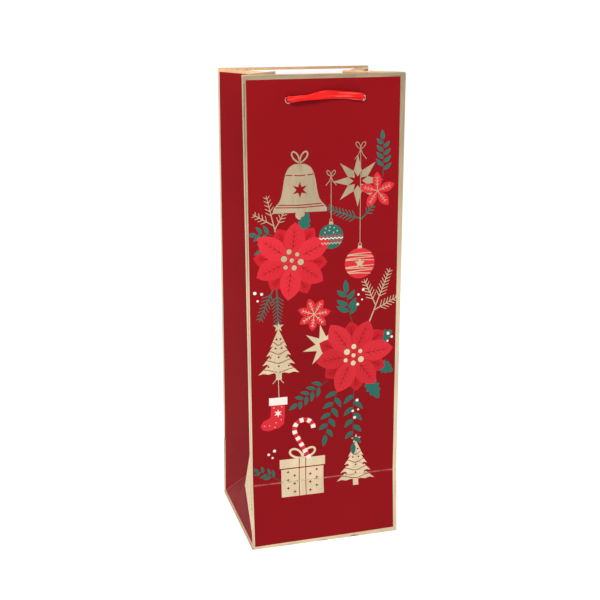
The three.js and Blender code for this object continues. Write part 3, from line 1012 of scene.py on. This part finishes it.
def star(name, centre, outer, inner, rays, turn=0.0):
    tips = arc_points(centre, outer, turn + math.pi / 2, 2 * math.pi, rays)[:-1]
    notches = arc_points(centre, inner, turn + math.pi / 2 + math.pi / rays, 2 * math.pi, rays)[:-1]
    art[name].append([point for pair in zip(tips, notches) for point in pair])


def side_veins(name, start, angle, turn, length, width, end_width):
    for way in (-1, 1):
        stroke(name, [start, point_at(start, angle + way * turn, length)], width, end_width)


def flower(centre, radius, turn, petals=6):
    """A layered winter flower: pointed petals in two rings, veined, with a berry heart."""
    for ring, name, reach in ((0.5, "deep_petal", 0.93), (0.0, "petal", 1.0)):
        for i in range(petals):
            angle = turn + 2 * math.pi * (i + ring) / petals
            long = radius * reach * (1 + 0.06 * math.sin(3 * i + 1))
            tone = "low_petal" if name == "petal" and i % 2 else name
            blade(tone, point_at(centre, angle, radius * 0.02), point_at(centre, angle, long),
                  radius * 0.55, belly=0.56, bend=0.03 * radius * (-1) ** i)
            foot, end = (0.6 if name == "deep_petal" else 0.3) * long, 0.86 * long
            stroke("vein", [point_at(centre, angle, foot), point_at(centre, angle, end)], 0.5, 0.2)
            for k in range(4):
                start = point_at(centre, angle, foot + (end - foot) * (0.1 + 0.22 * k))
                side_veins("vein", start, angle, 0.75, radius * (0.16 - 0.022 * k), 0.36, 0.14)
    ring = [point_at(centre, turn + i * math.pi / 3 + 0.4, radius * (0.2 + 0.03 * (i % 2)))
            for i in range(1, 7)]
    for i, place in enumerate([centre] + ring):
        size = radius * (0.055 + 0.012 * (i % 3))
        disc("vein", place, size + 0.35)
        disc("gold_detail", place, size)


def small_flower(centre, radius, turn, petals, width):
    for i in range(petals):
        angle = turn + 2 * math.pi * i / petals
        blade("petal", centre, point_at(centre, angle, radius), radius * width, belly=0.55)
        stroke("gold_detail", [centre, point_at(centre, angle, radius * 0.78)], 0.55, 0.3)
        for k in range(1, 4):
            start = point_at(centre, angle, radius * (0.12 + 0.17 * k))
            side_veins("gold_detail", start, angle, 0.8, radius * 0.15, 0.45, 0.25)


def stem(root, heading, length, curve, steps):
    """Places along a stem that bends by curve in all, and its heading on the way to each of them."""
    places, headings = [Vector(root)], [heading]
    for _ in range(steps):
        headings.append(headings[-1] + curve / steps)
        places.append(point_at(places[-1], headings[-1], length / steps))
    return places, headings


def sprig(root, angle, length, pairs, leaf, curve=0.0):
    """A curved stem with leaves in pairs and one at its end."""
    steps = 10
    places, headings = stem(root, angle, length, curve, steps)
    stroke("leaf_vein", places, 0.55, 0.3)
    for k in range(pairs):
        index = round(1 + (steps - 2) * (k + 0.6) / pairs)
        for way in (-1, 1):
            start = places[min(index + (way > 0), steps)]
            tip = point_at(start, headings[index] + way * 0.85, leaf * (1 - 0.25 * k / pairs))
            blade("leaf", start, tip, leaf * 0.36, belly=0.42, bend=way * leaf * 0.05)
            stroke("leaf_vein", [start, start.lerp(tip, 0.8)], 0.3, 0.15)
    tip = point_at(places[-1], headings[-1], leaf * 0.95)
    blade("leaf", places[-1], tip, leaf * 0.4, belly=0.4)
    stroke("leaf_vein", [places[-1], places[-1].lerp(tip, 0.75)], 0.3, 0.15)


NEEDLE_SPACING = 2.9
NEEDLE_ANGLE = 0.85


def fir_twig(name, root, angle, length, needle, curve=0.0, width=0.62):
    steps = max(4, round(length / NEEDLE_SPACING))
    places, headings = stem(root, angle, length, curve, steps)
    for i in range(1, steps):
        reach = needle * (1 - 0.5 * i / steps)
        side_veins(name, places[i + 1], headings[i + 1], NEEDLE_ANGLE, reach, width, width * 0.7)
    stroke(name, [places[-1], point_at(places[-1], headings[-1], needle * 0.5)], width, width * 0.6)
    stroke(name, places, width * 1.2, width * 0.8)


def fir_branch(name, root, angle, length, needle):
    """A forked fir branch."""
    stroke(name, [root, point_at(root, angle, length * 0.4)], 0.9, 0.7)
    for start, turn, share in ((0.4, 0.0, 0.62), (0.35, 0.8, 0.5), (0.25, -0.75, 0.48)):
        fir_twig(name, point_at(root, angle, length * start), angle + turn, length * share, needle)


def bow_loop(centre, size, way, low, opening, flatness=1.0):
    """One side of a bow, from low upwards by opening."""
    points = []
    for share in shares(16):
        reach = size * math.sin(math.pi * share)
        rise = low + opening * math.pi / 2 * share
        along, up = reach * math.cos(rise), reach * math.sin(rise) * flatness
        points.append((centre[0] + way * along, centre[1] + up))
    return points


def bow(centre, size, width=0.5):
    for way in (-1, 1):
        stroke("gold_detail", bow_loop(centre, size, way, 0.4, 0.75), width)
        tail = [centre, point_at(centre, -math.pi / 2 + way * 0.4, size * 0.7),
                point_at(centre, -math.pi / 2 + way * 0.55, size * 1.45)]
        stroke("gold_detail", tail, width)


def hang(start, top, bow_size):
    """A thread from an ornament's ring or cuff up to a bow."""
    stroke("gold_detail", [start, top], 0.45)
    bow(top, bow_size)


def bauble(name, centre, radius, top, bow_size):
    """A round ornament with its cap and ring, hung from a bow."""
    x, y = centre[0], centre[1] + radius * 0.97
    hang((x, y + 4.3), top, bow_size)
    disc(name, centre, radius, 32)
    stroke("gold_detail", [(x, y), (x, y + 2.2)], 3.4, 2.8)
    stroke("gold_detail", arc_points((x, y + 3.2), 1.1, 0, 2 * math.pi, 12), 0.45)


def chord(radius, height):
    """Half the width of a round ornament at a height from its centre."""
    return math.sqrt(max(0.0, radius ** 2 - height ** 2)) * 0.97


def zigzag_bauble(centre, radius, top):
    x, y = centre
    bauble("leaf", centre, radius, top, 5.2)
    for name, height, width in (("petal", 0.05, 0.7), ("white", -0.14, 0.8), ("petal", -0.34, 0.7),
                                ("gold_detail", -0.54, 0.9)):
        half = chord(radius, height * radius)
        line = [(x - half + 2 * half * i / 12, y + height * radius + (-1) ** i * 0.55) for i in range(13)]
        stroke(name, line, width)
    dots(centre, radius, ((-0.5, 0.35), (-0.15, 0.5), (0.2, 0.32), (0.5, 0.45), (-0.1, 0.78), (0.25, 0.7),
                          (-0.45, 0.68)), 0.62, 12)


def banded_bauble(centre, radius, top):
    x, y = centre
    bauble("petal", centre, radius, top, 6.0)
    for i, height in enumerate((0.62, 0.5, 0.34, 0.2, -0.2, -0.34, -0.5, -0.66)):
        half = chord(radius, height * radius)
        level, slope = y + height * radius, 0.5 * (-1) ** i
        line = [(x - half, level - slope), (x, level + 0.3), (x + half, level + slope)]
        stroke("gold_detail", line, 0.85, 0.5)
    star("gold_detail", centre, radius * 0.36, radius * 0.16, 5)


def stocking(centre, size, top):
    x, y = centre
    hang((x + 0.12 * size, y + 0.8 * size), top, 5.4)
    outline("petal", centre, size, ((-0.18, 0.55), (0.36, 0.55), (0.34, 0.1), (0.3, -0.28), (0.12, -0.42),
                                    (-0.3, -0.52), (-0.52, -0.46), (-0.6, -0.3), (-0.5, -0.12),
                                    (-0.22, 0.02)))
    outline("white", centre, size, ((-0.26, 0.5), (0.44, 0.5), (0.44, 0.8), (-0.26, 0.8)))
    dots(centre, size, ((0.0, -0.2), (0.2, -0.1), (-0.25, -0.3), (-0.45, -0.3), (0.22, 0.42), (-0.08, 0.4),
                        (-0.05, -0.38)), 0.42, 10)
    star("white", (x + 0.08 * size, y + 0.17 * size), size * 0.17, size * 0.06, 6)


def cane(foot, angle, length, hook):
    """A striped cane: a straight stem and a hook, in even stripes."""
    neck = point_at(foot, angle, length)
    line = [foot, neck] + arc_points(point_at(neck, angle - math.pi / 2, hook), hook, angle + math.pi / 2,
                                     -1.15 * math.pi, 16)[1:]
    places = [row[:2] for row in evenly(np.array([(*point, 0.0) for point in line]), 0.75)]
    for i in range(0, len(places) - 1, 4):
        stroke("petal" if i // 4 % 2 else "white", places[i:i + 5], 3.6)


def bell(centre, size):
    x, y = centre
    curve = smooth_line([(0.0, 1.0), (0.13, 0.99), (0.25, 0.9), (0.32, 0.72), (0.36, 0.48), (0.42, 0.26),
                         (0.55, 0.1), (0.57, 0.0)], 4)
    outline("gold", centre, size, [(a, b) for a, b in curve] + [(-a, b) for a, b in curve[:0:-1]])
    disc("gold", (x, y - 0.05 * size), 0.1 * size)
    for height, reach in ((0.17, 0.46), (0.12, 0.51), (0.78, 0.29)):
        level, half = y + height * size, reach * size
        stroke("ground", [(x - half, level), (x, level - 0.02 * size), (x + half, level)], 0.7)
    star("ground", (x, y + 0.47 * size), 0.17 * size, 0.07 * size, 6)
    bow((x, y + 1.02 * size), size * 0.27, 1.1)


def fir_tree(foot, width, height, tiers=4):
    x, y = foot
    trunk = height * 0.12
    outline("gold", foot, width, ((-0.07, 0), (0.07, 0), (0.07, 1), (-0.07, 1)), trunk + 1)
    for k in range(tiers):
        low = y + trunk + (height - trunk) * 0.2 * k
        half = width / 2 * (1 - 0.2 * k)
        top = y + height if k == tiers - 1 else low + (height - trunk) * 0.42
        edge = [(x - half + half * i / 4, low + (0.9 if i % 2 else 0)) for i in range(9)]
        art["gold"].append(edge + [(x, top)])
        line = [(x + 0.72 * half * (turn - 1), low + 2.6 + 1.3 * math.cos(math.pi * turn))
                for turn in np.linspace(0, 2, 9)]
        stroke("ground", line, 0.55)
        high_up = k > 1
        for i in range(3 - high_up):
            disc("ground", (x + (i - 1 + 0.5 * high_up) * half * 0.5, low + 6.0), 0.75, 12)
    star("gold", (x, y + height + 1.5), 4.2, 1.8, 5)


def gift(foot, width, height):
    x, y = foot
    lid = height * 0.24
    for low, high, half in ((0, height - lid - 0.9, width / 2 - 1.2), (height - lid, height, width / 2)):
        outline("gold", (x, y + low), half, ((-1, 0), (1, 0), (1, 1), (-1, 1)), high - low)
    for way in (-1, 1):
        stroke("ground", [(x + way * 2.6, y), (x + way * 2.6, y + height)], 0.6)
        stroke("gold", bow_loop((x, y + height), width * 0.36, way, 0.0, 1.0, 0.8), 1.7)
        for k in range(3):
            for m in range(2):
                star("ground", (x + way * (6.2 + 5.2 * m), y + 3.6 + 6.6 * k + 3.3 * m), 1.5, 0.6, 4)


def berries(places, radius=1.25):
    for i, place in enumerate(places):
        disc("white", place, radius * (1 - 0.16 * (i % 3)), 14)


def holly(root, tip, width):
    blade("leaf", root, tip, width, belly=0.5, teeth=0.3, steps=11)
    stroke("leaf_vein", [root, Vector(root).lerp(Vector(tip), 0.85)], 0.4, 0.2)


def draw_festive_print():
    """An arrangement of generic winter motifs, spread as loosely as the real bag's print."""
    bell((-19, 262), 35)
    star("gold", (24, 283), 19, 8, 8)
    star("ground", (24, 283), 8, 3.2, 8, math.pi / 8)
    fir_tree((-36, 136), 31, 40)
    star("gold", (-1, 160), 17, 7, 8, 0.2)
    gift((-18, 40), 36, 31)
    fir_tree((25, 43), 31, 37)
    sprig((43, 285), 1.5, 27, 4, 8, 0.15)
    fir_twig("leaf", (28, 255), math.pi - 0.2, 26, 6.0, -0.25, 0.85)
    fir_twig("leaf", (27, 255), 0.7, 11, 5.0, 0.2, 0.85)
    small_flower((39, 275), 14, 0.35, 5, 0.5)
    fir_branch("gold", (-36, 243), 1.8, 30, 5.0)
    sprig((-39, 246), 2.8, 12, 2, 8, 0.4)
    sprig((-40, 239), -2.9, 8, 1, 7, 0.3)
    holly((-20, 243), (-13, 262), 10)
    fir_twig("leaf", (-39, 207), -2.05, 24, 6.5, 0.1, 0.75)
    fir_twig("leaf", (-37, 206), -1.5, 25, 6.5, -0.1, 0.75)
    flower((-25.5, 227), 29.5, 0.42)
    berries(((-53, 204), (-48, 203), (-51, 198)))
    zigzag_bauble((4, 243), 9.2, (4, 287))
    banded_bauble((26, 221.5), 11.6, (26, 306))
    small_flower((-9, 185), 13, 0.1, 7, 0.5)
    sprig((21, 176), 1.95, 24, 3, 11, -0.3)
    fir_branch("gold", (34, 175), 1.2, 40, 6.0)
    berries(((29, 201), (25.3, 197.5), (28.2, 193.5), (24.8, 190)), 1.05)
    holly((38, 158), (53, 167), 11)
    holly((40, 143), (54, 134), 11)
    holly((32, 134), (43, 113), 12)
    berries(((49.5, 165), (52.5, 162), (49.2, 159)))
    sprig((2, 132), -2.6, 29, 4, 8.5, 0.1)
    sprig((12, 130), -1.95, 44, 4, 10, 0.2)
    sprig((23, 128), -1.62, 50, 4, 10.5, 0.08)
    berries(((25.4, 113.5), (22, 105), (26.3, 105.8), (23.6, 99.5)))
    flower((22, 150), 30.5, 0.1)
    stocking((-38.5, 106), 20, (-36.5, 140))
    cane((-12.5, 70), 2.05, 24, 7.5)
    sprig((-36.2, 54), 2.5, 19, 3, 6.8, 0.2)
    berries(((-40, 79), (-44.5, 76.5), (-41.5, 73.5)))


def draw_wear_and_dark_fold_line():
    """Where handling shows: a nick at the cross crease and torn white hole edges; also a thin dark line
    drawn down the left side fold.
    """
    # A thin dark line down the left side fold.
    fold = [(0.45 - ART_HALF + 0.3 * v / PANEL_LENGTH + 0.12 * math.sin(v / 17), v)
            for v in spread(66, 354, 6)]
    stroke("score", fold, 0.04, 0.42)
    outline("white", (ART_HALF, FOOT_LENGTH), 1, ((-2.9, 0.9), (-0.3, 0.5), (-0.6, 1.6)))
    for side, start, end in ((LEFT, 2.6, 4.9), (RIGHT, -1.0, 0.8)):
        centre = (side * HOLE_HALF_SPACING * ART_HALF / half_width(PANEL_LENGTH), PANEL_LENGTH - HOLE_DROP)
        stroke("white", arc_points(centre, HOLE_RADIUS + 0.15, start, end - start, 14), 0.24)


def cut(polygon, axis, line, above):
    """The part of a convex polygon on one side of a grid line."""
    kept = []
    for a, b in zip(polygon, polygon[1:] + polygon[:1]):
        a_in = (a[axis] >= line) if above else (a[axis] <= line)
        b_in = (b[axis] >= line) if above else (b[axis] <= line)
        if a_in:
            kept.append(a)
        if a_in != b_in:
            kept.append(a.lerp(b, (line - a[axis]) / (b[axis] - a[axis])))
    return kept


def cut_to_grid(polygon, lines_across, lines_along):
    pieces = [polygon]
    for axis, lines in ((0, lines_across), (1, lines_along)):
        done = []
        for piece in pieces:
            low, high = min(point[axis] for point in piece), max(point[axis] for point in piece)
            for line in lines:
                if low + 1e-6 < line < high - 1e-6:
                    done.append(cut(piece, axis, line, False))
                    piece = cut(piece, axis, line, True)
            done.append(piece)
        pieces = [piece for piece in done if len(piece) > 2]
    return pieces


GRID_ACROSS = [share * ART_HALF for share in SHARES]
GRID_ALONG = sorted(set([0.2, BASE_RADIUS] + FOOT_ROWS + WALL_ROWS))


def cut_pieces(polygons, lines_along, reach):
    """Flat polygons cut along the paper's grid and trimmed to reach on both sides of the panel's middle."""
    for polygon in polygons:
        flat = [Vector((point[0], point[1], 0)) for point in polygon]
        for corners in geometry.tessellate_polygon([flat]):
            triangle = [flat[corner].to_2d() for corner in corners]
            for piece in cut_to_grid(triangle, GRID_ACROSS, lines_along):
                piece = cut(cut(piece, 0, reach + 1e-6, False), 0, -reach - 1e-6, True)
                if len(piece) > 2:
                    yield piece


def lay_on_panel(wall, name, polygons, material, lift, lines_along, reach=ART_HALF):
    """Lays flat polygons on a panel, cut along its grid, foot and wall apart."""
    pieces = {"wall": [], "foot": []}
    for piece in cut_pieces(polygons, lines_along, reach):
        middle = sum(point.y for point in piece) / len(piece)
        pieces["wall" if middle > FOOT_LENGTH else "foot"].append(piece)
    for part, surface, body, low in (("wall", wall_surface, wall_body(wall), FOOT_LENGTH),
                                     ("foot", foot_surface, "root", -FLAP_REACH)):
        vertices, faces, wear, known = [], [], [], {}
        for piece in pieces[part]:
            face = []
            for point in piece:
                key = (round(point.x, 3), round(point.y, 3))
                if key not in known:
                    known[key] = len(vertices)
                    p = max(point.y, low)
                    vertices.append(surface(wall, point.x / ART_HALF * -wall, p, lift))
                    wear.append(crease_wear(p))
                if not face or face[-1] != known[key]:
                    face.append(known[key])
            if face[0] == face[-1]:
                face.pop()
            if len(set(face)) == len(face) > 2:
                faces.append(face)
        if faces:
            a, b, c = (vertices[i] for i in faces[0][:3])
            if (b - a).cross(c - a).y * wall < 0:
                faces = [face[::-1] for face in faces]
            finish_mesh(f"{WALL_NAMES[wall]}_{part}_{name}", vertices, faces, (material,), body,
                        wear=wear)


draw_festive_print()
draw_wear_and_dark_fold_line()
for wall in (FRONT, BACK):
    for level, (name, material) in enumerate(LAYERS.items()):
        lay_on_panel(wall, f"print_{name}", art[name], material, PRINT_LIFT + LAYER_LIFT * level, GRID_ALONG,
                     ART_HALF if name == "score" else PRINT_HALF)

# ---- the panels' foil frames, printed a little askew: each side's width at both its ends ----
FRAME_LEFT = {FRONT: (1.3, 2.1), BACK: (2.2, 2.6)}
FRAME_RIGHT = {FRONT: (2.3, 3.6), BACK: (2.8, 2.4)}
FRAME_LOW = {FRONT: (2.4, 3.6), BACK: (3.0, 2.6)}
FRAME_TOP = {FRONT: (3.5, 3.1), BACK: (3.4, 3.6)}


def build_panel_frame(wall):
    arc, hem = hem_path(HEM_RADIUS)
    end = hem[0] + 0.6
    left, right, low, top = FRAME_LEFT[wall], FRAME_RIGHT[wall], FRAME_LOW[wall], FRAME_TOP[wall]
    inner = [(-ART_HALF + left[0], low[0]), (ART_HALF - right[0], low[1]),
             (ART_HALF - right[1], PANEL_LENGTH - top[1]), (-ART_HALF + left[1], PANEL_LENGTH - top[0])]
    outer = [(-ART_HALF, BASE_FOLD_ROWS[0]), (ART_HALF, BASE_FOLD_ROWS[0]), (ART_HALF, PANEL_LENGTH),
             (-ART_HALF, PANEL_LENGTH)]
    sides = [[outer[k], outer[(k + 1) % 4], inner[(k + 1) % 4], inner[k]] for k in range(4)]
    wrap = [outer[3], outer[2], (ART_HALF, end), (-ART_HALF, end)]
    lines = sorted(set(GRID_ALONG + arc + hem[:1] + BASE_FOLD_ROWS))
    # The foil over the mouth edge takes the orange copy of the gold, which is painted shade.
    for name, polygons, material in (("upright", sides[1::2], foil), ("level", sides[0::2], level_foil),
                                     ("turned", [wrap], warm_shade_painted_foil)):
        lay_on_panel(wall, f"foil_{name}", polygons, material, FOIL_LIFT, lines)


for wall in (FRONT, BACK):
    build_panel_frame(wall)

# ---- the CAD pieces that stay as they are get their paper and card ----
CAD_MATERIALS = {
    "base_card": card, "front_handle_card": card, "back_handle_card": card, "side_seam_flap": inner_paper,
    "left_bottom_flap": red_paper, "right_bottom_flap": red_paper,
}
for node, material in CAD_MATERIALS.items():
    for slot in bpy.data.objects[node].material_slots:
        slot.material = material


# ---- light, floor, sky (in metres) ----
def backdrop(name, corners, material):
    mesh = bpy.data.meshes.new(name)
    mesh.from_pydata(corners, [], [(0, 1, 2, 3)])
    mesh.materials.append(material)
    piece = bpy.data.objects.new(name, mesh)
    bpy.context.collection.objects.link(piece)
    return piece


floor_material, _, floor_shader = new_material("floor", (0.6, 0.6, 0.6), 0.9, specular=0.2)
floor_shader.inputs["Emission Color"].default_value = (1, 1, 1, 1)
floor_shader.inputs["Emission Strength"].default_value = 0.59
FLOOR_HALF = 160
backdrop("floor", [(-FLOOR_HALF, -FLOOR_HALF, 0), (FLOOR_HALF, -FLOOR_HALF, 0),
                   (FLOOR_HALF, FLOOR_HALF, 0), (-FLOOR_HALF, FLOOR_HALF, 0)], floor_material)

# A dark card in front of the bag, seen only in the foil's and ribbon's gloss.
flag = backdrop("flag", [(-1.6, -1.7, 0), (1.6, -1.7, 0), (1.6, -1.7, 1.1), (-1.6, -1.7, 1.1)],
                new_material("flag", (0.44, 0.4, 0.37), 0.9)[0])
flag.visible_camera = False
flag.visible_diffuse = False
flag.visible_shadow = False
flag.visible_transmission = False

world = bpy.data.worlds.new("studio")
bpy.context.scene.world = world
world.use_nodes = True
world.node_tree.nodes["Background"].inputs["Color"].default_value = (1, 1, 1, 1)
world.node_tree.nodes["Background"].inputs["Strength"].default_value = 0.73
bpy.context.scene.view_settings.view_transform = "Standard"


def softbox(name, place, aim, size, power):
    light = bpy.data.lights.new(name, "AREA")
    light.shape = "RECTANGLE"
    light.size, light.size_y = size
    light.energy = power
    lamp = bpy.data.objects.new(name, light)
    lamp.location = place
    lamp.rotation_euler = (Vector(aim) - Vector(place)).to_track_quat("-Z", "Y").to_euler()
    bpy.context.collection.objects.link(lamp)


softbox("key", (-0.3, -0.8, 1.0), (0, 0, 0.32), (0.5, 0.35), 9.6)
softbox("side", (-1.6, -0.3, 0.9), (0, 0, 0.18), (0.8, 1.2), 5)
